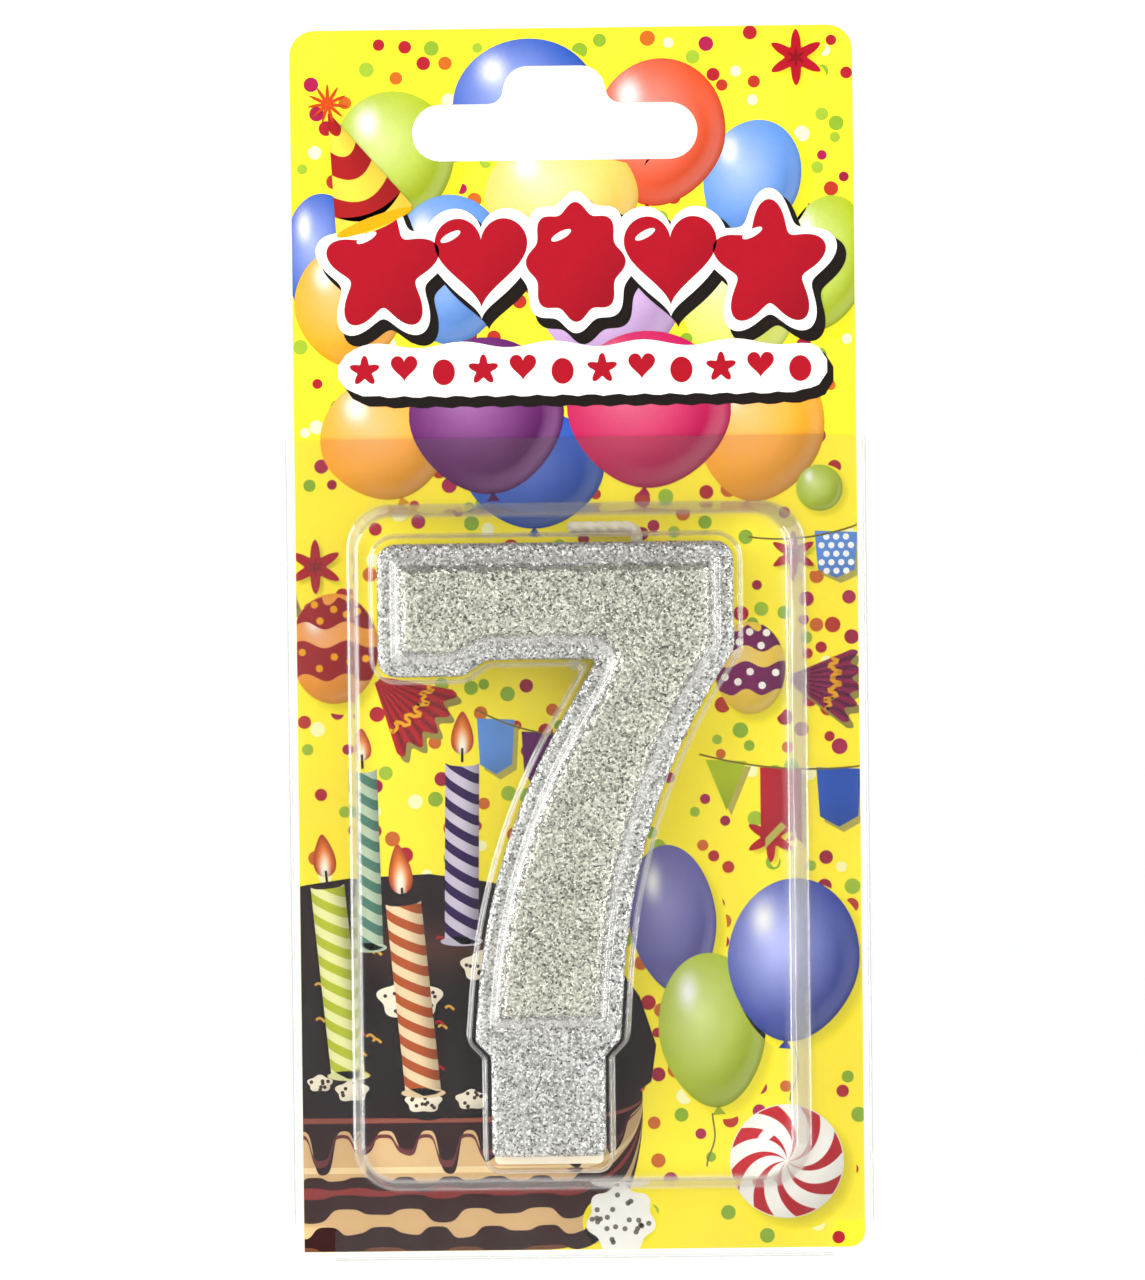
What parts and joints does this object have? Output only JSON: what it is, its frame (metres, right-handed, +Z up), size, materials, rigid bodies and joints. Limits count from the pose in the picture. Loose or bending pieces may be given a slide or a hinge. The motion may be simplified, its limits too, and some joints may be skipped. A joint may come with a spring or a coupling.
{
  "type": "number birthday candle",
  "caption": "Glitter-coated numeral seven candle with a wick, packed in a clear slide-on blister on a printed hang card.",
  "frame": {"origin": "centre of the straight part of the hang slot, on the back face of the card", "axes": "+Z up along the card's height, +Y out of the card's back towards the wall or rack, front of the numeral towards -Y, +X to the viewer's right"},
  "size_m": [0.065, 0.011, 0.138],
  "materials": {
    "printed_board": "printed and coated cardboard, satin",
    "clear_sheet": "clear thermoformed sheet, glossy",
    "wax": "paraffin wax, satin",
    "silver_glitter": "silver glitter in clear lacquer",
    "waxed_cotton": "waxed cotton, matte"
  },
  "bodies": {
    "card": {"backing_card": "printed_board"},
    "blister": {"blister": "clear_sheet"},
    "candle": {"candle_body": "wax", "glitter_coat": "silver_glitter", "wick": "waxed_cotton"}
  },
  "joints": [
    {"name": "blister_slide", "type": "slide", "parent": "card", "child": "blister", "axis": [0, 0, -1], "range_m": [0, 0.095]},
    {"name": "candle_play", "type": "slide", "parent": "blister", "child": "candle", "axis": [0, 0, 1], "range_m": [0, 0.0003]}
  ]
}
